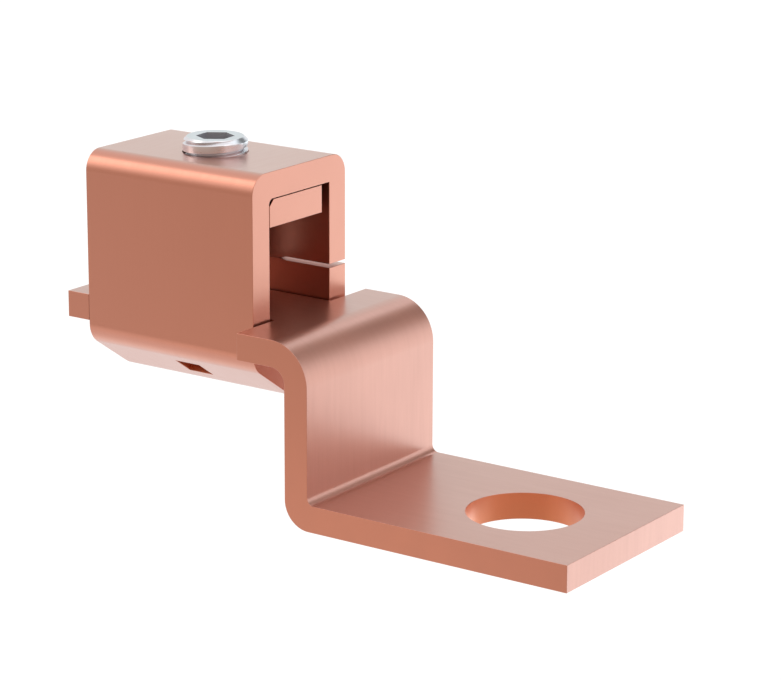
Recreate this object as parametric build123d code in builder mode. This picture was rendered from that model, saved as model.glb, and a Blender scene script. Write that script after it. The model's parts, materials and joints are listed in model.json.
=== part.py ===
from build123d import *
from math import cos, radians, sin, tan
import os

# Mechanical lug: a bent contact tongue held in a folded collar, with a nut plate and a set screw.
# Millimetres. The origin is the centre of the stud hole on the face that is bolted down,
# +X runs to the tip of the tongue and +Z points away from the bolted face.

# Strip that the tongue and the collar are folded from
strip_t = 1.59

# Contact tongue
tongue_w = 12.6
tip_reach = 6.7
stud_hole_d = 6.75
riser_back = 12.19
step_height = 9.31
upper_bend_r = 2.52
lower_bend_r = 1.65
root_r = 0.3
head_len = 1.56

# Collar, folded round the neck of the tongue
wire_w = 5.79
wire_h = 5.43
collar_len = 12.31
mouth_back = 15.74
fold_r = 1.23
inside_fold_r = 0.35
slope_deg = 34.0
slope_fold_r = 1.5
keel_inside_r = 0.6
seam_gap = 0.23
seam_height = 1.92

# Window pierced in the near slope of the keel
window_len = 1.74
window_w = 1.62
window_down = 2.35
window_forward = 0.22

# Nut plate under the roof of the collar
plate_t = 1.6
plate_w = 5.0
plate_chamfer = 0.42

# Set screw
screw_d = 3.84
screw_len = 8.0
screw_end_chamfer = 0.3
screw_stand = 0.91
socket_flats = 2.0
socket_depth = 2.6
socket_tip_deg = 118.0
socket_turn_deg = 34.0

# Clearances and broken edges
neck_play = 0.15
shoulder_play = 0.2
head_play = 0.05
keel_play = 0.16
plate_play = 0.06
roof_play = 0.08
screw_play = 0.05
edge_break = 0.06

# Places that follow from the sizes
seat_z = step_height + strip_t
roof_inside_z = seat_z + wire_h + plate_t + roof_play
collar_top_z = roof_inside_z + strip_t
collar_mouth_x = -mouth_back
collar_rear_x = collar_mouth_x - collar_len
screw_x = (collar_mouth_x + collar_rear_x) / 2
inside_half_w = wire_w / 2
outside_half_w = inside_half_w + strip_t
slope = radians(slope_deg)
strip_on_slope = strip_t / cos(slope)


def corner_near(sketch, across, up):
    """The sketch corner that lies nearest to a point of the drawing plane."""
    return sketch.vertices().sort_by_distance((across, up, 0))[0]


# Contact tongue: side view with its two bends, cut to the outline of the blank seen from above
riser_front_x = strip_t - riser_back
head_front_x = collar_rear_x - head_play
head_rear_x = head_front_x - head_len
shoulder_x = collar_mouth_x + shoulder_play
neck_half_w = inside_half_w - neck_play
tongue_half_w = tongue_w / 2

with BuildPart() as offset_tongue:
    with BuildSketch(Plane.XZ) as tongue_side:
        with BuildLine():
            Polyline(
                (tip_reach, 0),
                (-riser_back, 0),
                (-riser_back, step_height),
                (head_rear_x, step_height),
                (head_rear_x, seat_z),
                (riser_front_x, seat_z),
                (riser_front_x, strip_t),
                (tip_reach, strip_t),
                close=True,
            )
        make_face()
        fillet(corner_near(tongue_side, -riser_back, 0), lower_bend_r)
        fillet(corner_near(tongue_side, -riser_back, step_height), upper_bend_r - strip_t)
        fillet(corner_near(tongue_side, riser_front_x, seat_z), upper_bend_r)
        fillet(corner_near(tongue_side, riser_front_x, strip_t), root_r)
    extrude(amount=tongue_w, both=True)

    with BuildSketch(Plane.XY):
        with BuildLine():
            Polyline(
                (tip_reach, 0),
                (tip_reach, tongue_half_w),
                (shoulder_x, tongue_half_w),
                (shoulder_x, neck_half_w),
                (head_front_x, neck_half_w),
                (head_front_x, outside_half_w),
                (head_rear_x, outside_half_w),
                (head_rear_x, 0),
            )
            mirror(about=Plane.XZ)
        make_face()
    extrude(amount=seat_z, mode=Mode.INTERSECT)

    chamfer(offset_tongue.edges(), edge_break)

    with Locations((0, 0, strip_t)):
        Hole(stud_hole_d / 2)

offset_tongue.part.label = "offset_tongue"

# Collar: one strip folded into a loop with a keel below, open at a butt seam in the far wall
slope_top_z = step_height - keel_play
keel_inside_z = slope_top_z - inside_half_w * tan(slope)
keel_outside_z = keel_inside_z - strip_on_slope
slope_outer_top_z = keel_outside_z + outside_half_w * tan(slope)
seam_z = seat_z + seam_height + seam_gap / 2

with BuildPart() as collar:
    with BuildSketch(Plane.YZ.offset(collar_rear_x)) as loop:
        with BuildLine():
            Polyline(
                (0, keel_outside_z),
                (outside_half_w, slope_outer_top_z),
                (outside_half_w, collar_top_z),
                (-outside_half_w, collar_top_z),
                (-outside_half_w, slope_outer_top_z),
                close=True,
            )
        make_face()
        for side in (-1, 1):
            fillet(corner_near(loop, side * outside_half_w, collar_top_z), fold_r)
            fillet(corner_near(loop, side * outside_half_w, slope_outer_top_z), slope_fold_r)
        fillet(corner_near(loop, 0, keel_outside_z), keel_inside_r + strip_t)
    extrude(amount=collar_len)

    with BuildSketch(Plane.YZ.offset(collar_rear_x)) as channel:
        with BuildLine():
            Polyline(
                (0, keel_inside_z),
                (inside_half_w, slope_top_z),
                (inside_half_w, roof_inside_z),
                (-inside_half_w, roof_inside_z),
                (-inside_half_w, slope_top_z),
                close=True,
            )
        make_face()
        fillet(corner_near(channel, -inside_half_w, roof_inside_z), inside_fold_r)
        fillet(corner_near(channel, 0, keel_inside_z), keel_inside_r)
        with Locations((inside_half_w + strip_t / 2, seam_z)):
            Rectangle(strip_t * 2, seam_gap)
    extrude(amount=collar_len, mode=Mode.SUBTRACT)
    chamfer(collar.edges(), edge_break)

    outward = (0, -sin(slope), -cos(slope))
    window_x = screw_x + window_forward
    window_y = window_down * cos(slope) - outside_half_w
    window_z = slope_outer_top_z - window_down * sin(slope)
    window_plane = Plane(origin=(window_x, window_y, window_z), x_dir=(1, 0, 0), z_dir=outward)
    with BuildSketch(window_plane):
        Rectangle(window_len, window_w)
    extrude(amount=-strip_on_slope, mode=Mode.SUBTRACT)

    with Locations((screw_x, 0, collar_top_z)):
        Hole(screw_d / 2 + screw_play, depth=strip_t)

collar.part.label = "collar"

# Nut plate: lies under the roof against the near wall, flush with both ends of the collar
plate_near_y = plate_play - inside_half_w
plate_top_z = roof_inside_z - roof_play

with BuildPart() as nut_plate:
    with BuildSketch(Plane.YZ.offset(collar_rear_x)) as plate_section:
        with Locations((plate_near_y, plate_top_z)):
            Rectangle(plate_w, plate_t, align=(Align.MIN, Align.MAX))
        chamfer(corner_near(plate_section, plate_near_y, plate_top_z), plate_chamfer)
    extrude(amount=collar_len)
    chamfer(nut_plate.edges(), edge_break)
    with Locations((screw_x, 0, plate_top_z)):
        Hole(screw_d / 2 + screw_play)

nut_plate.part.label = "nut_plate"

# Set screw: plain shank at the crest diameter, chamfered ends and a hexagon socket
screw_top_z = collar_top_z + screw_stand
screw_tip_z = screw_top_z - screw_len
socket_r = socket_flats / 2
socket_tip_len = socket_r / tan(radians(socket_tip_deg / 2))

with BuildPart() as clamp_screw:
    with BuildSketch(Plane.XY.offset(screw_tip_z)):
        with Locations((screw_x, 0)):
            Circle(screw_d / 2)
    extrude(amount=screw_len)
    chamfer(clamp_screw.edges().filter_by(GeomType.CIRCLE), screw_end_chamfer)
    with BuildSketch(Plane.XY.offset(screw_top_z)):
        with Locations((screw_x, 0)):
            RegularPolygon(socket_r, 6, major_radius=False, rotation=socket_turn_deg)
    extrude(amount=-socket_depth, mode=Mode.SUBTRACT)
    with Locations((screw_x, 0, screw_top_z - socket_depth - socket_tip_len / 2)):
        Cone(0, socket_r, socket_tip_len, mode=Mode.SUBTRACT)

clamp_screw.part.label = "clamp_screw"

os.makedirs("parts", exist_ok=True)
for piece in (offset_tongue, collar, nut_plate, clamp_screw):
    export_step(piece.part, f"parts/{piece.part.label}.step")
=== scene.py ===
import json
from math import cos, pi, radians, sin, tan

import bmesh
import bpy
from mathutils import Matrix, Vector


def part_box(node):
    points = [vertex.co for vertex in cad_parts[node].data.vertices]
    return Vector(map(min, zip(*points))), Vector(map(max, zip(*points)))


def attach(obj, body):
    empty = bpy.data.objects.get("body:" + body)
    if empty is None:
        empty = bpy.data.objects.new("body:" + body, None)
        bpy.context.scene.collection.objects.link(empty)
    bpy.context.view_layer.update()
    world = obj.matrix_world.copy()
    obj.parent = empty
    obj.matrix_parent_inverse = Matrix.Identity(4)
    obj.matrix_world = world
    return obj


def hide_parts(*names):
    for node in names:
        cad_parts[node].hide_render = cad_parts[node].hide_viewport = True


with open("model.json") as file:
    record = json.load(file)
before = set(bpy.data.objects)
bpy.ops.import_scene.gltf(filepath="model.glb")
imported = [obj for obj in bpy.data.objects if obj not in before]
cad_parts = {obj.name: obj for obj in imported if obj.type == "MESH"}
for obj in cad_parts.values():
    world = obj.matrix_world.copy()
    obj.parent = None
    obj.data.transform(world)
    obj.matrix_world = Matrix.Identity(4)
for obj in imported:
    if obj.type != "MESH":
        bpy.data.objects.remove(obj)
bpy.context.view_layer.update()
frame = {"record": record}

# Mechanical lug: an offset copper tongue in a folded collar, with a nut plate and a set screw.
# Everything is in metres, in the frame of the CAD model.

scene = bpy.context.scene
scene.view_settings.view_transform = "Standard"
mm = 0.001

tongueLow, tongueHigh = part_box("offset_tongue")
collarLow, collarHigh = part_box("collar")
plateLow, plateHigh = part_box("nut_plate")
screwLow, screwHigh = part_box("clamp_screw")
mounts = {mount["name"]: mount for mount in frame["record"]["mounts"]}


# Camera, placed as the photograph was taken

cameraView = {
    "place": (0.08509, -0.13474, 0.05541),
    "azimuth": 34.21,        # degrees, 0 looks along +Y
    "elevation": 15.33,
    "roll": 0.44,
    "lens": 137.33,          # millimetres on a 36 mm wide sensor
    "sensorWidth": 36.0,
    "shiftX": -0.05146,
    "shiftY": -0.00476,
}


def makeCamera(view):
    data = bpy.data.cameras.new("photoCamera")
    data.sensor_fit = "HORIZONTAL"
    data.sensor_width = view["sensorWidth"]
    data.lens = view["lens"]
    data.shift_x = view["shiftX"]
    data.shift_y = view["shiftY"]
    data.clip_start = 0.005
    data.clip_end = 20
    camera = bpy.data.objects.new("photoCamera", data)
    scene.collection.objects.link(camera)
    turn = Matrix.Rotation(radians(view["azimuth"]), 4, "Z")
    tilt = Matrix.Rotation(radians(90 - view["elevation"]), 4, "X")
    roll = Matrix.Rotation(radians(view["roll"]), 4, "Z")
    camera.matrix_world = Matrix.Translation(view["place"]) @ turn @ tilt @ roll
    scene.camera = camera


makeCamera(cameraView)
print("camera placed")


# Small helpers for node trees and meshes

mergeDistance = 0.001 * mm
sharpFrom = radians(25)          # edges that turn by more than this are rounded


def addNode(tree, kind, inputs=None, **settings):
    # one node with its settings, its inputs linked or filled in
    made = tree.nodes.new(kind)
    for setting, value in settings.items():
        setattr(made, setting, value)
    for socket, value in (inputs or {}).items():
        if isinstance(value, bpy.types.NodeSocket):
            tree.links.new(value, made.inputs[socket])
        else:
            made.inputs[socket].default_value = value
    return made


def mathNode(tree, operation, *values, clamp=False):
    inputs = dict(enumerate(values))
    return addNode(tree, "ShaderNodeMath", inputs, operation=operation, use_clamp=clamp).outputs[0]


def colourMix(tree, share, first, second):
    # inputs 0, 6 and 7 are the factor and the two colours
    return addNode(tree, "ShaderNodeMix", {0: share, 6: first, 7: second}, data_type="RGBA").outputs[2]


def noiseNode(tree, place, scale, detail, roughness):
    inputs = {"Vector": place, "Scale": scale, "Detail": detail, "Roughness": roughness}
    return addNode(tree, "ShaderNodeTexNoise", inputs).outputs[0]


def geometryTree(name, sockets):
    # sockets: (name, socket type, value)
    tree = bpy.data.node_groups.new(name, "GeometryNodeTree")
    tree.is_modifier = True
    tree.interface.new_socket("Geometry", in_out="INPUT", socket_type="NodeSocketGeometry")
    for label, kind, value in sockets:
        socket = tree.interface.new_socket(label, in_out="INPUT", socket_type=kind)
        if value is not None:
            socket.default_value = value
    tree.interface.new_socket("Geometry", in_out="OUTPUT", socket_type="NodeSocketGeometry")
    return tree


def mergeTouching(tree, shape):
    inputs = {"Geometry": shape, "Distance": mergeDistance}
    return addNode(tree, "GeometryNodeMergeByDistance", inputs).outputs[0]


def endTree(tree, shape, metal):
    # real geometry in its metal, as the tree's result
    real = addNode(tree, "GeometryNodeRealizeInstances", {"Geometry": shape}).outputs[0]
    dressed = addNode(tree, "GeometryNodeSetMaterial", {"Geometry": real, "Material": metal}).outputs[0]
    tree.links.new(dressed, tree.nodes.new("NodeGroupOutput").inputs[0])


def linkPiece(name, mesh):
    piece = bpy.data.objects.new(name, mesh)
    scene.collection.objects.link(piece)
    return piece


def settle(piece):
    # bakes the live modifiers into a plain mesh
    graph = bpy.context.evaluated_depsgraph_get()
    mesh = bpy.data.meshes.new_from_object(piece.evaluated_get(graph))
    piece.modifiers.clear()
    piece.data = mesh
    mesh.name = piece.name
    return piece


def growPiece(name, mesh, tree, values):
    # runs a geometry tree on a mesh, with its inputs set by identifier
    piece = linkPiece(name, mesh)
    modifier = piece.modifiers.new(tree.name, "NODES")
    modifier.node_group = tree
    for item in tree.interface.items_tree:
        if item.in_out == "INPUT" and item.name in values:
            modifier[item.identifier] = values[item.name]
    settle(piece)
    dress(piece, values["Material"])
    return piece


def dress(piece, metal):
    # one metal on every face
    piece.data.materials.clear()
    piece.data.materials.append(metal)
    for face in piece.data.polygons:
        face.material_index = 0


def dressWhere(piece, metal, belongs):
    # another metal on the faces for which belongs(face) is true
    piece.data.materials.append(metal)
    for face in piece.data.polygons:
        if belongs(face):
            face.material_index = len(piece.data.materials) - 1


def prism(outline, low, high, place=None):
    # a closed bar on a flat outline, from low to high along Z, then put in place
    work = bmesh.new()
    lower = [work.verts.new((u, v, low)) for u, v in outline]
    upper = [work.verts.new((u, v, high)) for u, v in outline]
    work.faces.new(lower)
    work.faces.new(upper)
    for index in range(len(outline)):
        after = (index + 1) % len(outline)
        work.faces.new((lower[index], lower[after], upper[after], upper[index]))
    bmesh.ops.recalc_face_normals(work, faces=work.faces)
    if place is not None:
        work.transform(place)
    mesh = bpy.data.meshes.new("cutter")
    work.to_mesh(mesh)
    work.free()
    return mesh


def circleOutline(radius, sides, centre=(0, 0), turn=0.0):
    steps = (turn + 2 * pi * step / sides for step in range(sides))
    return [(centre[0] + radius * cos(step), centre[1] + radius * sin(step)) for step in steps]


def cutAway(piece, cutters):
    # takes each cutter's mesh out of the piece, whose metal then covers the cut faces too
    metal = piece.data.materials[0]
    tools = [linkPiece("cutter", mesh) for mesh in cutters]
    for tool in tools:
        cut = piece.modifiers.new("cut", "BOOLEAN")
        cut.operation = "DIFFERENCE"
        cut.solver = "EXACT"
        cut.object = tool
    settle(piece)
    for tool in tools:
        bpy.data.objects.remove(tool)
    dress(piece, metal)


def breakEdges(piece, width, segments):
    # rounds every sharp edge and keeps the flat faces flat to the eye
    for face in piece.data.polygons:
        face.use_smooth = True
    bevel = piece.modifiers.new("brokenEdges", "BEVEL")
    bevel.width = width
    bevel.segments = segments
    bevel.limit_method = "ANGLE"
    bevel.angle_limit = sharpFrom
    bevel.harden_normals = True
    weighted = piece.modifiers.new("flatFaces", "WEIGHTED_NORMAL")
    weighted.keep_sharp = True
    weighted.weight = 100        # the largest faces decide
    settle(piece)


# Shader groups that all the metals use

grainPattern = {
    "lineDetail": 4.0,
    "lineRoughness": 0.62,
    "cloudDetail": 3.0,
    "cloudRoughness": 0.5,
    "speckScale": 2600.0,
    "speckDetail": 2.0,
    "speckRoughness": 0.6,
}

wearAndHighlightPattern = {
    "samples": 6,
    "gain": 4.0,             # how fast the mask grows as the surface turns
    "patchScale": 700.0,
    "patchDetail": 3.0,
    "patchRoughness": 0.6,
}


def shaderGroup(name, inputs, outputs):
    # inputs: (name, socket type, value), outputs: (name, socket type)
    group = bpy.data.node_groups.new(name, "ShaderNodeTree")
    for label, kind, value in inputs:
        socket = group.interface.new_socket(label, in_out="INPUT", socket_type=kind)
        socket.default_value = value
    for label, kind in outputs:
        group.interface.new_socket(label, in_out="OUTPUT", socket_type=kind)
    return group


def makeGrainGroup(pattern):
    # fine lines left by rolling, and slow clouds, both from object coordinates
    group = shaderGroup(
        "rolledGrain",
        [
            ("Lines", "NodeSocketVector", (1.0, 1.0, 1.0)),
            ("Line Contrast", "NodeSocketFloat", 1.0),
            ("Cloud Scale", "NodeSocketFloat", 150.0),
        ],
        [("Grain", "NodeSocketFloat"), ("Clouds", "NodeSocketFloat"), ("Specks", "NodeSocketFloat")],
    )
    given = group.nodes.new("NodeGroupInput").outputs
    place = addNode(group, "ShaderNodeTexCoord").outputs["Object"]
    stretched = addNode(group, "ShaderNodeMapping", {"Vector": place, "Scale": given["Lines"]})
    lines = noiseNode(group, stretched.outputs[0], 1.0, pattern["lineDetail"], pattern["lineRoughness"])
    centred = mathNode(group, "SUBTRACT", lines, 0.5)
    grain = mathNode(group, "MULTIPLY_ADD", centred, given["Line Contrast"], 0.5, clamp=True)
    clouds = noiseNode(
        group, place, given["Cloud Scale"], pattern["cloudDetail"], pattern["cloudRoughness"]
    )
    specks = noiseNode(
        group, place, pattern["speckScale"], pattern["speckDetail"], pattern["speckRoughness"]
    )
    found = group.nodes.new("NodeGroupOutput").inputs
    group.links.new(grain, found["Grain"])
    group.links.new(clouds, found["Clouds"])
    group.links.new(specks, found["Specks"])
    return group


def makeWearAndHighlightGroup(pattern):
    # a mask along the edges, broken up so that it doesn't run evenly; the paler colour it lays there is
    # wear and a painted edge highlight
    group = shaderGroup(
        "edgeWearAndHighlight",
        [("Width", "NodeSocketFloat", 0.0001), ("Break Up", "NodeSocketFloat", 0.5)],
        [("Mask", "NodeSocketFloat")],
    )
    given = group.nodes.new("NodeGroupInput").outputs
    rounded = addNode(
        group, "ShaderNodeBevel", {"Radius": given["Width"]}, samples=pattern["samples"]
    ).outputs[0]
    flat = addNode(group, "ShaderNodeNewGeometry").outputs["Normal"]
    alike = addNode(
        group, "ShaderNodeVectorMath", {0: rounded, 1: flat}, operation="DOT_PRODUCT"
    ).outputs["Value"]
    turned = mathNode(group, "SUBTRACT", 1.0, alike)
    edge = mathNode(group, "MULTIPLY", turned, pattern["gain"], clamp=True)
    place = addNode(group, "ShaderNodeTexCoord").outputs["Object"]
    patches = noiseNode(
        group, place, pattern["patchScale"], pattern["patchDetail"], pattern["patchRoughness"]
    )
    kept = mathNode(group, "MULTIPLY", patches, given["Break Up"])
    mask = mathNode(group, "SUBTRACT", edge, kept, clamp=True)
    group.links.new(mask, group.nodes.new("NodeGroupOutput").inputs["Mask"])
    return group


grainGroup = makeGrainGroup(grainPattern)
wearAndHighlightGroup = makeWearAndHighlightGroup(wearAndHighlightPattern)


# Metals

bareCopper = {
    "colour": (0.60, 0.225, 0.145),
    "tarnish": (0.53, 0.190, 0.115),
    # the paler edge colour: wear, and a painted highlight along the edges
    "wornAndHighlight": (0.63, 0.25, 0.17),
    "coat": (1.0, 0.28, 1.60),       # weight, roughness and IOR of the clear film over it
    "tarnishShare": 0.30,
    "grainTone": 0.25,               # how far the rolled lines shift the tone
    "roughness": (0.27, 0.37),
    "bump": 0.12,
    "bumpDepth": 0.010 * mm,
    "wearAndHighlightWidth": 0.05 * mm,
    "breakUp": 0.6,
    "cloudScale": 190.0,
    "lineContrast": 1.0,
    "grainInRoughness": 0.6,
    "cloudsInRoughness": 0.4,
    "noiseRange": (0.3, 0.7),        # of the mixed noise, spread over the range of roughness
    "specksInBump": 0.35,
}

tongueLook = dict(
    bareCopper,
    colour=(0.575, 0.225, 0.152),
    tarnish=(0.505, 0.190, 0.121),
    coat=(1.0, 0.29, 1.92),
    grainTone=0.8,
    roughness=(0.36, 0.46),
    bump=0.35,
)

# torn walls: rougher, and a brighter, deeper orange that paints in the warm reflection they get from
# the copper round them
punchedLookWithPaintedReflection = dict(
    bareCopper,
    colour=(0.77, 0.26, 0.12),
    tarnish=(0.67, 0.19, 0.08),
    coat=(1.0, 0.30, 1.50),
    roughness=(0.42, 0.54),
)

brightZinc = dict(
    bareCopper,
    colour=(0.72, 0.70, 0.735),
    tarnish=(0.60, 0.60, 0.61),
    wornAndHighlight=(0.83, 0.83, 0.83),
    coat=(0.0, 0.03, 1.50),
    tarnishShare=0.35,
    grainTone=0.2,
    roughness=(0.24, 0.38),
    bump=0.08,
    bumpDepth=0.008 * mm,
    wearAndHighlightWidth=0.06 * mm,
    breakUp=0.4,
    cloudScale=500.0,
)

socketZinc = dict(
    brightZinc,
    colour=(0.55, 0.55, 0.59),
    tarnish=(0.43, 0.43, 0.46),
    wornAndHighlight=(0.66, 0.66, 0.68),
    roughness=(0.45, 0.60),
)


def makeMetal(name, look, lines):
    # lines: how fast the grain changes along X, Y and Z, in cycles a metre
    material = bpy.data.materials.new(name)
    material.use_nodes = True
    tree = material.node_tree
    tree.nodes.clear()
    grain = addNode(tree, "ShaderNodeGroup", node_tree=grainGroup)
    grain.inputs["Lines"].default_value = lines
    grain.inputs["Line Contrast"].default_value = look["lineContrast"]
    grain.inputs["Cloud Scale"].default_value = look["cloudScale"]
    wearAndHighlight = addNode(tree, "ShaderNodeGroup", node_tree=wearAndHighlightGroup)
    wearAndHighlight.inputs["Width"].default_value = look["wearAndHighlightWidth"]
    wearAndHighlight.inputs["Break Up"].default_value = look["breakUp"]

    cloudy = mathNode(tree, "MULTIPLY", grain.outputs["Clouds"], look["tarnishShare"])
    lined = mathNode(tree, "SUBTRACT", grain.outputs["Grain"], 0.5)
    share = mathNode(tree, "MULTIPLY_ADD", lined, look["grainTone"], cloudy, clamp=True)
    toned = colourMix(tree, share, (*look["colour"], 1), (*look["tarnish"], 1))
    # the edges take the paler colour, as wear and as a painted highlight along them
    edged = colourMix(tree, wearAndHighlight.outputs["Mask"], toned, (*look["wornAndHighlight"], 1))
    clouds = mathNode(tree, "MULTIPLY", grain.outputs["Clouds"], look["cloudsInRoughness"])
    mixed = mathNode(tree, "MULTIPLY_ADD", grain.outputs["Grain"], look["grainInRoughness"], clouds)
    smoothest, roughest = look["roughness"]
    fromMin, fromMax = look["noiseRange"]
    rough = addNode(
        tree, "ShaderNodeMapRange",
        {
            "Value": mixed,
            "From Min": fromMin,
            "From Max": fromMax,
            "To Min": smoothest,
            "To Max": roughest,
        },
    ).outputs[0]
    height = mathNode(
        tree, "MULTIPLY_ADD", grain.outputs["Specks"], look["specksInBump"], grain.outputs["Grain"]
    )
    bump = addNode(
        tree, "ShaderNodeBump",
        {"Height": height, "Strength": look["bump"], "Distance": look["bumpDepth"]},
    ).outputs[0]
    metal = addNode(
        tree, "ShaderNodeBsdfPrincipled",
        {"Base Color": edged, "Roughness": rough, "Normal": bump, "Metallic": 1.0},
    )
    for socket, value in zip(("Coat Weight", "Coat Roughness", "Coat IOR"), look["coat"]):
        metal.inputs[socket].default_value = value
    addNode(tree, "ShaderNodeOutputMaterial", {"Surface": metal.outputs[0]})
    return material


# the lines follow the strip through its bends, and on the collar they run round the loop
tongueCopper = makeMetal("tongueCopper", tongueLook, (250, 3500, 250))
collarCopper = makeMetal("collarCopper", bareCopper, (5200, 350, 350))
# the strip's cut sides, and the walls that the punch tore
shearedCopper = makeMetal("shearedCopper", bareCopper, (700, 700, 350))
# the torn walls' brighter orange is painted reflection, their greater roughness is real
punchedCopperWithPaintedReflection = makeMetal("punchedCopperWithPaintedReflection", punchedLookWithPaintedReflection, (900, 900, 300))
# turned, so the lines ring the axis, and the socket's walls, drawn along it
screwZinc = makeMetal("screwZinc", brightZinc, (900, 900, 6500))
broachedZinc = makeMetal("broachedZinc", socketZinc, (3500, 3500, 500))
print("metals mixed")


# Folded strip: corners joined by true arcs, filled and drawn out to the strip's width

def makeStockTree():
    tree = geometryTree(
        "foldedStock",
        [
            ("Width", "NodeSocketFloat", 0.01),
            ("Start", "NodeSocketFloat", 0.0),
            ("Arc Steps", "NodeSocketInt", 16),
            ("Turn", "NodeSocketVector", (0.0, 0.0, 0.0)),
            ("Material", "NodeSocketMaterial", None),
        ],
    )
    given = tree.nodes.new("NodeGroupInput").outputs
    loop = addNode(tree, "GeometryNodeMeshToCurve", {"Mesh": given["Geometry"]}).outputs[0]
    radius = addNode(
        tree, "GeometryNodeInputNamedAttribute", {"Name": "foldRadius"}, data_type="FLOAT"
    ).outputs[0]
    folded = addNode(
        tree, "GeometryNodeFilletCurve",
        {"Curve": loop, "Count": given["Arc Steps"], "Radius": radius},
        mode="POLY",
    ).outputs[0]
    wire = addNode(tree, "GeometryNodeCurveToMesh", {"Curve": folded}).outputs[0]
    outline = addNode(tree, "GeometryNodeMeshToCurve", {"Mesh": mergeTouching(tree, wire)}).outputs[0]
    face = addNode(tree, "GeometryNodeFillCurve", {"Curve": outline}, mode="NGONS").outputs[0]
    lift = addNode(tree, "ShaderNodeCombineXYZ", {"Z": given["Width"]}).outputs[0]
    drawn = addNode(
        tree, "GeometryNodeExtrudeMesh",
        {"Mesh": face, "Offset": lift, "Offset Scale": 1.0, "Individual": False},
    ).outputs[0]
    under = addNode(tree, "GeometryNodeFlipFaces", {"Mesh": face}).outputs[0]
    both = addNode(tree, "GeometryNodeJoinGeometry")
    tree.links.new(drawn, both.inputs[0])
    tree.links.new(under, both.inputs[0])
    closed = mergeTouching(tree, both.outputs[0])
    start = addNode(tree, "ShaderNodeCombineXYZ", {"Z": given["Start"]}).outputs[0]
    moved = addNode(
        tree, "GeometryNodeTransform", {"Geometry": closed, "Translation": start}
    ).outputs[0]
    turned = addNode(
        tree, "GeometryNodeTransform", {"Geometry": moved, "Rotation": given["Turn"]}
    ).outputs[0]
    endTree(tree, turned, given["Material"])
    return tree


def cornerRing(corners):
    # corners: (across, up, radius of the fold there)
    mesh = bpy.data.meshes.new("corners")
    count = len(corners)
    edges = [(index, (index + 1) % count) for index in range(count)]
    mesh.from_pydata([(u, v, 0) for u, v, _ in corners], edges, [])
    radii = mesh.attributes.new("foldRadius", "FLOAT", "POINT")
    radii.data.foreach_set("value", [radius for _, _, radius in corners])
    return mesh


stockTree = makeStockTree()
sideView = (pi / 2, 0, 0)                # outline in X and Z, drawn out along -Y
endView = (pi / 2, 0, pi / 2)            # outline in Y and Z, drawn out along +X
beyond = 2 * mm                          # how far the cutters stand out of a piece
slack = 0.01 * mm                        # for telling which faces belong to a wall
wallLean = 0.3                           # most that a wall's normal leans along the hole
sideFacing = 0.9                         # least that a side's normal points along its axis


# Tongue

tongue = {
    "thickness": 1.59 * mm,
    "riserBack": 12.19 * mm,         # rear face of the riser, behind the hole
    "upperBend": 2.52 * mm,          # outer radius, at the top
    "lowerBend": 1.65 * mm,          # outer radius, at the foot
    "root": 0.45 * mm,               # inside radius where riser meets foot
    "headPlay": 0.01 * mm,
    "shoulderPlay": 0.20 * mm,
    "neckHalfWidth": 2.745 * mm,
    "arcSteps": 24,
    "holeSides": 128,
    "edge": 0.02 * mm,               # rounding of the edges
    "edgeSteps": 2,
}


def makeTongue(sizes):
    thick = sizes["thickness"]
    tip = tongueHigh.x
    end = tongueLow.x
    seat = tongueHigh.z
    back = -sizes["riserBack"]
    front = back + thick
    outer = sizes["upperBend"]
    corners = [
        (tip, 0, 0),
        (tip, thick, 0),
        (front, thick, sizes["root"]),
        (front, seat, outer),
        (end, seat, 0),
        (end, seat - thick, 0),
        (back, seat - thick, outer - thick),
        (back, 0, sizes["lowerBend"]),
    ]
    width = tongueHigh.y - tongueLow.y
    piece = growPiece(
        "tongue", cornerRing(corners), stockTree,
        {
            "Width": width,
            "Start": -width / 2,
            "Arc Steps": sizes["arcSteps"],
            "Turn": sideView,
            "Material": tongueCopper,
        },
    )
    shoulder = collarHigh.x + sizes["shoulderPlay"]
    headFront = collarLow.x - sizes["headPlay"]
    neck = sizes["neckHalfWidth"]
    head = collarHigh.y
    notch = [
        (shoulder, neck),
        (shoulder, tongueHigh.y + beyond),
        (end - beyond, tongueHigh.y + beyond),
        (end - beyond, head),
        (headFront, head),
        (headFront, neck),
    ]
    mirrored = [(x, -y) for x, y in notch]
    hole = mounts["stud_hole"]["dims"]["r_mm"] * mm
    cutAway(
        piece,
        [
            prism(notch, -beyond, seat + beyond),
            prism(mirrored, -beyond, seat + beyond),
            prism(circleOutline(hole, sizes["holeSides"]), -beyond, thick + beyond),
        ],
    )
    breakEdges(piece, sizes["edge"], sizes["edgeSteps"])

    def inHole(face):
        return Vector(face.center[:2]).length < hole + slack and abs(face.normal.z) < wallLean

    def onCutSide(face):
        return abs(face.normal.y) > sideFacing and not inHole(face)

    # the hole's wall gets the brighter orange of painted reflection
    dressWhere(piece, punchedCopperWithPaintedReflection, inHole)
    dressWhere(piece, shearedCopper, onCutSide)
    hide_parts("offset_tongue")
    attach(piece, "lug")
    return piece


tonguePiece = makeTongue(tongue)
print("tongue bent:", len(tonguePiece.data.polygons), "faces")


# Collar

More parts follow.
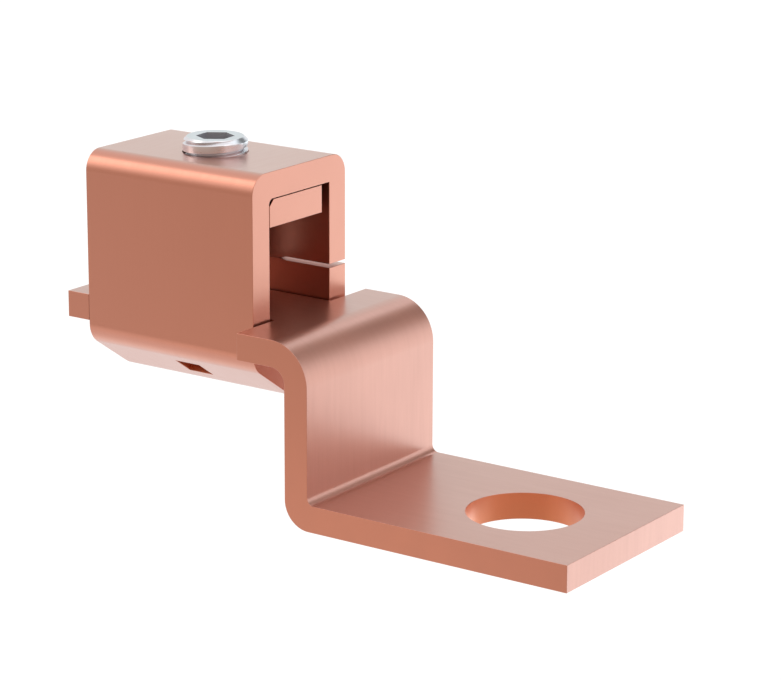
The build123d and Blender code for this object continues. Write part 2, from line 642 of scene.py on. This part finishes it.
collar = {
    "thickness": 1.59 * mm,
    "insideHalfWidth": 2.895 * mm,
    "fold": 1.23 * mm,               # outer radius of the two roof folds
    "insideFold": 0.35 * mm,
    "slope": radians(34),            # the keel's sides below level
    "slopeFold": 1.50 * mm,
    "keelInside": 0.60 * mm,
    "keelPlay": 0.16 * mm,           # under the tongue's neck
    "seamHeight": 12.935 * mm,
    "seamOpen": 0.23 * mm,           # between the lips at the mouth
    "seamShut": 0.006 * mm,          # farther in, where they meet
    "seamTaper": (-18.9 * mm, -19.4 * mm),       # from open to shut, along X
    "seamLean": 0.8,                 # the open part reaches farther in on the outside
    "windowLength": 1.74 * mm,
    "windowWidth": 1.62 * mm,
    "windowDown": 2.35 * mm,         # down the slope from the fold
    "windowForward": 0.22 * mm,
    "windowReach": 1.5,              # thicknesses that its cutter goes in
    "screwPlay": 0.015 * mm,
    "arcSteps": 20,
    "holeSides": 96,
    "edge": 0.03 * mm,               # rounding of the edges
    "edgeSteps": 2,
}


def makeCollar(sizes):
    thick = sizes["thickness"]
    inner = sizes["insideHalfWidth"]
    outer = collarHigh.y
    slope = sizes["slope"]
    top = collarHigh.z
    roof = top - thick
    seatUnder = tongueHigh.z - tongue["thickness"]
    innerTurn = seatUnder - sizes["keelPlay"]
    innerKeel = innerTurn - inner * tan(slope)
    outerKeel = innerKeel - thick / cos(slope)
    outerTurn = outerKeel + outer * tan(slope)
    lowLip = sizes["seamHeight"] - sizes["seamShut"] / 2
    highLip = sizes["seamHeight"] + sizes["seamShut"] / 2
    corners = [
        (outer, lowLip, 0),
        (inner, lowLip, 0),
        (inner, innerTurn, 0),
        (0, innerKeel, sizes["keelInside"]),
        (-inner, innerTurn, 0),
        (-inner, roof, sizes["insideFold"]),
        (inner, roof, 0),
        (inner, highLip, 0),
        (outer, highLip, 0),
        (outer, top, sizes["fold"]),
        (-outer, top, sizes["fold"]),
        (-outer, outerTurn, sizes["slopeFold"]),
        (0, outerKeel, sizes["keelInside"] + thick),
        (outer, outerTurn, sizes["slopeFold"]),
    ]
    piece = growPiece(
        "collarLoop", cornerRing(corners), stockTree,
        {
            "Width": collarHigh.x - collarLow.x,
            "Start": collarLow.x,
            "Arc Steps": sizes["arcSteps"],
            "Turn": endView,
            "Material": collarCopper,
        },
    )
    screwX = (screwLow.x + screwHigh.x) / 2
    screwHole = (screwHigh.x - screwLow.x) / 2 + sizes["screwPlay"]
    circle = circleOutline(screwHole, sizes["holeSides"], (screwX, 0))
    hole = prism(circle, roof - thick, top + thick)

    outward = Vector((0, -sin(slope), -cos(slope)))
    down = sizes["windowDown"]
    middle = Vector((
        screwX + sizes["windowForward"],
        down * cos(slope) - outer,
        outerTurn - down * sin(slope),
    ))
    along = Vector((1, 0, 0))
    across = outward.cross(along)
    place = Matrix.Translation(middle) @ Matrix((along, across, outward)).transposed().to_4x4()
    halfLong = sizes["windowLength"] / 2
    halfWide = sizes["windowWidth"] / 2
    opening = [
        (-halfLong, -halfWide),
        (halfLong, -halfWide),
        (halfLong, halfWide),
        (-halfLong, halfWide),
    ]
    deep = sizes["windowReach"] * thick
    window = prism(opening, -deep, thick, place)

    taperFrom, taperTo = sizes["seamTaper"]
    wide = sizes["seamOpen"] / 2
    narrow = sizes["seamShut"] / 4               # ends inside the hairline
    ahead = collarHigh.x + 2 * beyond
    gap = [
        (ahead, wide),
        (taperFrom, wide),
        (taperTo, narrow),
        (taperTo, -narrow),
        (taperFrom, -wide),
        (ahead, -wide),
    ]
    raised = Matrix.Translation((0, 0, sizes["seamHeight"])) @ Matrix.Rotation(pi / 2, 4, "X")
    lean = Matrix.Identity(4)
    lean[0][1] = -sizes["seamLean"]
    lean[0][3] = sizes["seamLean"] * inner
    lips = prism(gap, -outer - mm, -inner + mm, lean @ raised)
    cutAway(piece, [hole, window, lips])
    breakEdges(piece, sizes["edge"], sizes["edgeSteps"])
    toWindow = place.inverted()

    def inWindow(face):
        spot = toWindow @ face.center
        within = abs(spot.x) < halfLong + slack and abs(spot.y) < halfWide + slack
        return within and abs(spot.z) < deep and abs(face.normal.dot(outward)) < wallLean

    # the window's walls get the brighter orange of painted reflection
    dressWhere(piece, punchedCopperWithPaintedReflection, inWindow)
    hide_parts("collar")
    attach(piece, "lug")
    return piece


collarPiece = makeCollar(collar)
print("collar folded:", len(collarPiece.data.polygons), "faces")


# Nut plate

nutPlate = {
    "chamfer": 0.42 * mm,            # on the corner that clears the inside fold
    "roofPlay": 0.045 * mm,
    "sidePlay": 0.035 * mm,          # from the near wall
    "screwPlay": 0.05 * mm,
    "holeSides": 96,
    "edge": 0.03 * mm,               # rounding of the edges
    "edgeSteps": 2,
}


def makeNutPlate(sizes):
    near, far = sizes["sidePlay"] - collar["insideHalfWidth"], plateHigh.y
    low, top = plateLow.z, collarHigh.z - collar["thickness"] - sizes["roofPlay"]
    cut = sizes["chamfer"]
    corners = [
        (near, low, 0),
        (far, low, 0),
        (far, top, 0),
        (near + cut, top, 0),
        (near, top - cut, 0),
    ]
    piece = growPiece(
        "nutPlate", cornerRing(corners), stockTree,
        {
            "Width": plateHigh.x - plateLow.x,
            "Start": plateLow.x,
            "Arc Steps": 1,
            "Turn": endView,
            "Material": collarCopper,
        },
    )
    screwX = (screwLow.x + screwHigh.x) / 2
    screwHole = (screwHigh.x - screwLow.x) / 2 + sizes["screwPlay"]
    circle = circleOutline(screwHole, sizes["holeSides"], (screwX, 0))
    cutAway(piece, [prism(circle, low - beyond, top + beyond)])
    breakEdges(piece, sizes["edge"], sizes["edgeSteps"])
    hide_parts("nut_plate")
    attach(piece, "lug")
    return piece


platePiece = makeNutPlate(nutPlate)
print("nut plate cut:", len(platePiece.data.polygons), "faces")


# Set screw: the thread is one helical surface

setScrew = {
    "pitch": 0.70 * mm,
    "depth": 0.22 * mm,
    "crestShare": 0.63,              # of the pitch, flat at the top of the ridge
    "rootShare": 0.06,               # flat at the bottom of the groove
    "groove": 20.21 * mm,            # height of a groove's bottom at grooveTurn
    "grooveTurn": radians(-145.8),
    "chamfer": 0.24 * mm,
    "rowsPerPitch": 20,
    "columns": 96,
    "startBelow": 1.5,               # pitches, because the rows climb as they go round
    "spare": 4,                      # pitches more than the screw is long
    "flats": 2.0 * mm,
    "socketDepth": 2.6 * mm,
    "socketTip": radians(118),       # whole angle of the drill's point
    "tipSides": 48,
    "socketTurn": radians(34),
    "creaseAngle": radians(24),
}


def makeThreadTree():
    # each row of a sheared grid follows the helix, so a row has one radius of the thread's section
    tree = geometryTree(
        "helicalThread",
        [
            ("Axis", "NodeSocketVector", (0.0, 0.0, 0.0)),       # where it stands
            ("Crest Radius", "NodeSocketFloat", 0.002),
            ("Depth", "NodeSocketFloat", 0.0003),
            ("Crest Share", "NodeSocketFloat", 0.4),
            ("Root Share", "NodeSocketFloat", 0.1),
            ("Pitch", "NodeSocketFloat", 0.0007),
            ("Groove Height", "NodeSocketFloat", 0.0),
            ("Bottom", "NodeSocketFloat", 0.0),
            ("Start Below", "NodeSocketFloat", 1.5),
            ("Top", "NodeSocketFloat", 0.008),
            ("Chamfer", "NodeSocketFloat", 0.0003),
            ("Rows Per Pitch", "NodeSocketInt", 20),
            ("Pitches", "NodeSocketInt", 14),
            ("Columns", "NodeSocketInt", 96),
            ("Material", "NodeSocketMaterial", None),
        ],
    )
    given = tree.nodes.new("NodeGroupInput").outputs
    rows = mathNode(tree, "MULTIPLY", given["Rows Per Pitch"], given["Pitches"])
    sheet = addNode(
        tree, "GeometryNodeMeshGrid",
        {
            "Size X": 1.0,
            "Size Y": 1.0,
            "Vertices X": mathNode(tree, "ADD", given["Columns"], 1),
            "Vertices Y": mathNode(tree, "ADD", rows, 1),
        },
    ).outputs["Mesh"]
    spot = addNode(tree, "GeometryNodeInputPosition").outputs[0]
    parts = addNode(tree, "ShaderNodeSeparateXYZ", {0: spot}).outputs
    around = mathNode(tree, "ADD", parts["X"], 0.5)
    upRow = mathNode(tree, "MULTIPLY", mathNode(tree, "ADD", parts["Y"], 0.5), given["Pitches"])
    climbed = mathNode(tree, "ADD", upRow, around)
    below = mathNode(tree, "MULTIPLY", given["Pitch"], given["Start Below"])
    start = mathNode(tree, "SUBTRACT", given["Bottom"], below)
    height = mathNode(tree, "MULTIPLY_ADD", climbed, given["Pitch"], start)

    rowHeight = mathNode(tree, "MULTIPLY_ADD", upRow, given["Pitch"], start)
    overGroove = mathNode(tree, "SUBTRACT", rowHeight, given["Groove Height"])
    share = mathNode(tree, "FRACT", mathNode(tree, "DIVIDE", overGroove, given["Pitch"]))
    fromCrest = mathNode(tree, "ABSOLUTE", mathNode(tree, "SUBTRACT", share, 0.5))
    crestEnd = mathNode(tree, "MULTIPLY", given["Crest Share"], 0.5)
    rootStart = mathNode(tree, "MULTIPLY_ADD", given["Root Share"], -0.5, 0.5)
    downFlank = addNode(
        tree, "ShaderNodeMapRange",
        {"Value": fromCrest, "From Min": crestEnd, "From Max": rootStart, "To Min": 0.0, "To Max": 1.0},
    ).outputs[0]
    sunk = mathNode(tree, "MULTIPLY", downFlank, given["Depth"])
    threadRadius = mathNode(tree, "SUBTRACT", given["Crest Radius"], sunk)

    aboveCut = mathNode(tree, "SUBTRACT", given["Top"], height)
    belowCut = mathNode(tree, "SUBTRACT", height, given["Bottom"])
    fromEnd = mathNode(tree, "MINIMUM", aboveCut, belowCut)
    nearEnd = mathNode(tree, "SUBTRACT", fromEnd, given["Chamfer"])
    endRadius = mathNode(tree, "ADD", given["Crest Radius"], nearEnd)
    radius = mathNode(tree, "MINIMUM", threadRadius, endRadius)

    angle = mathNode(tree, "MULTIPLY", around, 2 * pi)
    across = mathNode(tree, "MULTIPLY", radius, mathNode(tree, "COSINE", angle))
    deep = mathNode(tree, "MULTIPLY", radius, mathNode(tree, "SINE", angle))
    ring = addNode(tree, "ShaderNodeCombineXYZ", {"X": across, "Y": deep, "Z": height}).outputs[0]
    placed = addNode(
        tree, "ShaderNodeVectorMath", {0: ring, 1: given["Axis"]}, operation="ADD"
    ).outputs[0]
    shaped = addNode(
        tree, "GeometryNodeSetPosition", {"Geometry": sheet, "Position": placed}
    ).outputs[0]
    endTree(tree, mergeTouching(tree, shaped), given["Material"])
    return tree


def trimEnds(piece, low, high):
    # cuts the thread square at both ends and closes it
    work = bmesh.new()
    work.from_mesh(piece.data)
    exact = 0.00001 * mm
    for level, outward in ((high, 1), (low, -1)):
        bmesh.ops.bisect_plane(
            work,
            geom=work.verts[:] + work.edges[:] + work.faces[:],
            dist=exact,
            plane_co=(0, 0, level),
            plane_no=(0, 0, outward),
            clear_outer=True,
        )
        ends = [edge for edge in work.edges if edge.is_boundary]
        rim = [edge for edge in ends if abs(edge.verts[0].co.z - level) < 10 * exact]
        bmesh.ops.contextual_create(work, geom=rim)
    bmesh.ops.recalc_face_normals(work, faces=work.faces)
    work.to_mesh(piece.data)
    work.free()


def makeSetScrew(sizes):
    screwX = (screwLow.x + screwHigh.x) / 2
    top, bottom = screwHigh.z, screwLow.z
    pitch = sizes["pitch"]
    piece = growPiece(
        "setScrew", bpy.data.meshes.new("none"), makeThreadTree(),
        {
            "Axis": (screwX, 0, 0),
            "Crest Radius": (screwHigh.x - screwLow.x) / 2,
            "Depth": sizes["depth"],
            "Crest Share": sizes["crestShare"],
            "Root Share": sizes["rootShare"],
            "Pitch": pitch,
            "Groove Height": sizes["groove"] - pitch * sizes["grooveTurn"] / (2 * pi),
            "Bottom": bottom,
            "Start Below": sizes["startBelow"],
            "Top": top,
            "Chamfer": sizes["chamfer"],
            "Rows Per Pitch": sizes["rowsPerPitch"],
            "Pitches": int((top - bottom) / pitch) + sizes["spare"],
            "Columns": sizes["columns"],
            "Material": screwZinc,
        },
    )
    trimEnds(piece, bottom, top)
    hexRadius = sizes["flats"] / 2 / cos(pi / 6)
    floorHeight = top - sizes["socketDepth"]
    hexagon = circleOutline(hexRadius, 6, (screwX, 0), sizes["socketTurn"])
    cutAway(piece, [prism(hexagon, floorHeight, top + mm), drillPoint(screwX, floorHeight, sizes)])
    for face in piece.data.polygons:
        face.use_smooth = True
    piece.data.set_sharp_from_angle(angle=sizes["creaseAngle"])

    def inSocket(face):
        fromAxis = Vector((face.center.x - screwX, face.center.y)).length
        return fromAxis < hexRadius and bottom + mm < face.center.z < top - slack

    dressWhere(piece, broachedZinc, inSocket)
    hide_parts("clamp_screw")
    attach(piece, "screw")
    return piece


def drillPoint(screwX, height, sizes):
    # the cone that the drill left below the socket
    radius = sizes["flats"] / 2
    deep = radius / tan(sizes["socketTip"] / 2)
    rise = 0.01 * mm             # into the socket, so that the two cuts join
    work = bmesh.new()
    bmesh.ops.create_cone(
        work,
        cap_ends=True,
        segments=sizes["tipSides"],
        radius1=0,
        radius2=radius,
        depth=deep + rise,
        matrix=Matrix.Translation((screwX, 0, height - (deep - rise) / 2)),
    )
    bmesh.ops.recalc_face_normals(work, faces=work.faces)
    mesh = bpy.data.meshes.new("drill")
    work.to_mesh(mesh)
    work.free()
    return mesh


screwPiece = makeSetScrew(setScrew)
print("screw threaded:", len(screwPiece.data.polygons), "faces")


# Studio: pale floor, white surround, one soft lamp, and cards that only the metal's gloss sees

studio = {
    "floorHeight": -0.030,
    "floorSize": 6.0,
    "floorColour": (0.90, 0.90, 0.90),
    "mottleDepth": 0.995,
    "mottleScale": 90.0,
    "mottleDetail": 2.0,
    "mottleRoughness": 0.5,
    "floorRoughness": 0.9,
    "floorGlow": 0.12,               # for the camera alone, to make the floor the white background
    "lamps": {
        # name: (azimuth, elevation, half angle across, half angle up, level, colour), degrees
        "keyLamp": (-151, 30, 12, 31, 1.58, (1.00, 0.99, 0.91)),
    },
    "lampDistance": 0.50,
    "cards": {
        # the same with the share over which the card fades out, each nearer than the one before it
        "sideCard": (-60, -6, 81, 55, 0.61, (1.0, 0.84, 0.71), 0.45),
        "cornerCard": (-154, 6, 29, 18, 0.53, (1.00, 0.95, 0.93), 0.75),
        "tipCard": (78, 5, 34, 64, 2.62, (0.76, 0.87, 0.90), 0.65),
        "backCard": (79, 23, 25, 32, 0.05, (0.98, 1.00, 1.00), 0.50),
        "roofCard": (129, 24, 21, 26, 0.97, (0.88, 1.00, 0.99), 0.75),
        "lowCard": (177, -51, 21, 32, 1.23, (0.97, 1.00, 0.99), 0.75),
        "topCard": (-4, 54, 37, 62, 1.51, (1.00, 0.99, 0.99), 0.75),
    },
    "cardDistances": (2.2, 0.85),    # the farthest card, and how much nearer each next one is
    "bounce": {                      # a pale patch just over the floor before the foot
        "place": (-0.056, -0.077, -0.0299),
        "halfSizes": (0.046, 0.046),
        "level": 1.08,
        "colour": (1.0, 0.85, 0.72),
        "edge": 0.8,
    },
}
lookAt = Vector((-0.012, 0, 0.010))          # the middle of the lug


def facing(azimuth, elevation, distance):
    # a flat thing out in that direction, turned back to the object
    turn, rise = radians(azimuth), radians(elevation)
    away = Vector((cos(turn) * cos(rise), sin(turn) * cos(rise), sin(rise)))
    faced = away.to_track_quat("Z", "Y").to_matrix().to_4x4()
    return Matrix.Translation(lookAt + away * distance) @ faced


def plainSquare(name):
    mesh = bpy.data.meshes.new(name)
    mesh.from_pydata([(-1, -1, 0), (1, -1, 0), (1, 1, 0), (-1, 1, 0)], [], [(0, 1, 2, 3)])
    return linkPiece(name, mesh)


def makeFloor(setup):
    floor = plainSquare("floor")
    half = setup["floorSize"] / 2
    floor.scale = (half, half, 1)
    floor.location.z = setup["floorHeight"]
    floor.visible_glossy = False         # the metal sees the white surround and the low cards there
    material = bpy.data.materials.new("paleFloor")
    material.use_nodes = True
    tree = material.node_tree
    shader = tree.nodes["Principled BSDF"]
    place = addNode(tree, "ShaderNodeTexCoord").outputs["Object"]
    mottle = noiseNode(
        tree, place, setup["mottleScale"], setup["mottleDetail"], setup["mottleRoughness"]
    )
    dimmed = tuple(setup["mottleDepth"] * value for value in setup["floorColour"])
    colour = colourMix(tree, mottle, (*setup["floorColour"], 1), (*dimmed, 1))
    path = addNode(tree, "ShaderNodeLightPath").outputs
    glow = mathNode(tree, "MULTIPLY", path["Is Camera Ray"], setup["floorGlow"])
    tree.links.new(colour, shader.inputs["Base Color"])
    tree.links.new(glow, shader.inputs["Emission Strength"])
    shader.inputs["Emission Color"].default_value = (1, 1, 1, 1)
    shader.inputs["Roughness"].default_value = setup["floorRoughness"]
    shader.inputs["Specular IOR Level"].default_value = 0.0
    floor.data.materials.append(material)


def makeSurround():
    # plain white, to the camera and in reflections alike
    world = bpy.data.worlds.new("surround")
    world.use_nodes = True
    world.node_tree.nodes["Background"].inputs["Color"].default_value = (1, 1, 1, 1)
    world.node_tree.nodes["Background"].inputs["Strength"].default_value = 1.0
    world.cycles.sampling_method = "NONE"        # an even white needs no search
    scene.world = world


def makeLamps(setup):
    distance = setup["lampDistance"]
    for name, (azimuth, elevation, across, up, level, colour) in setup["lamps"].items():
        data = bpy.data.lights.new(name, "AREA")
        data.shape = "ELLIPSE"
        data.size = 2 * distance * tan(radians(across))
        data.size_y = 2 * distance * tan(radians(up))
        ellipse = data.size * data.size_y * pi / 4
        data.energy = level * pi * ellipse       # level 1 is as bright as the white surround
        data.color = colour
        lamp = bpy.data.objects.new(name, data)
        scene.collection.objects.link(lamp)
        lamp.matrix_world = facing(azimuth, elevation, distance)
        lamp.visible_camera = False


def cardMaterial(name, level, colour, edge):
    # glows in the middle and fades to nothing at the rim
    material = bpy.data.materials.new(name)
    material.use_nodes = True
    material.cycles.emission_sampling = "NONE"
    tree = material.node_tree
    tree.nodes.clear()
    place = addNode(tree, "ShaderNodeTexCoord").outputs["Object"]
    out = addNode(tree, "ShaderNodeVectorMath", {0: place}, operation="LENGTH").outputs["Value"]
    share = addNode(
        tree, "ShaderNodeMapRange",
        {"Value": out, "From Min": 1.0, "From Max": 1.0 - edge, "To Min": 0.0, "To Max": 1.0},
        interpolation_type="SMOOTHSTEP",
    ).outputs[0]
    clear = addNode(tree, "ShaderNodeBsdfTransparent").outputs[0]
    glow = addNode(tree, "ShaderNodeEmission", {"Color": (*colour, 1), "Strength": level}).outputs[0]
    soft = addNode(tree, "ShaderNodeMixShader", {0: share, 1: clear, 2: glow}).outputs[0]
    addNode(tree, "ShaderNodeOutputMaterial", {"Surface": soft})
    return material


def placeCard(name, place, level, colour, edge):
    # only gloss sees it
    card = plainSquare(name)
    card.matrix_world = place
    card.data.materials.append(cardMaterial(name, level, colour, edge))
    card.visible_camera = False
    card.visible_diffuse = False
    card.visible_transmission = False
    card.visible_shadow = False


def makeCards(setup):
    distance, nearer = setup["cardDistances"]
    for name, (azimuth, elevation, across, up, level, colour, edge) in setup["cards"].items():
        halves = Matrix.Diagonal((distance * tan(radians(across)), distance * tan(radians(up)), 1, 1))
        placeCard(name, facing(azimuth, elevation, distance) @ halves, level, colour, edge)
        distance *= nearer
    patch = setup["bounce"]
    halves = Matrix.Diagonal((*patch["halfSizes"], 1, 1))
    place = Matrix.Translation(patch["place"]) @ halves
    placeCard("bounceCard", place, patch["level"], patch["colour"], patch["edge"])


makeFloor(studio)
makeSurround()
makeLamps(studio)
makeCards(studio)
print("studio lit")
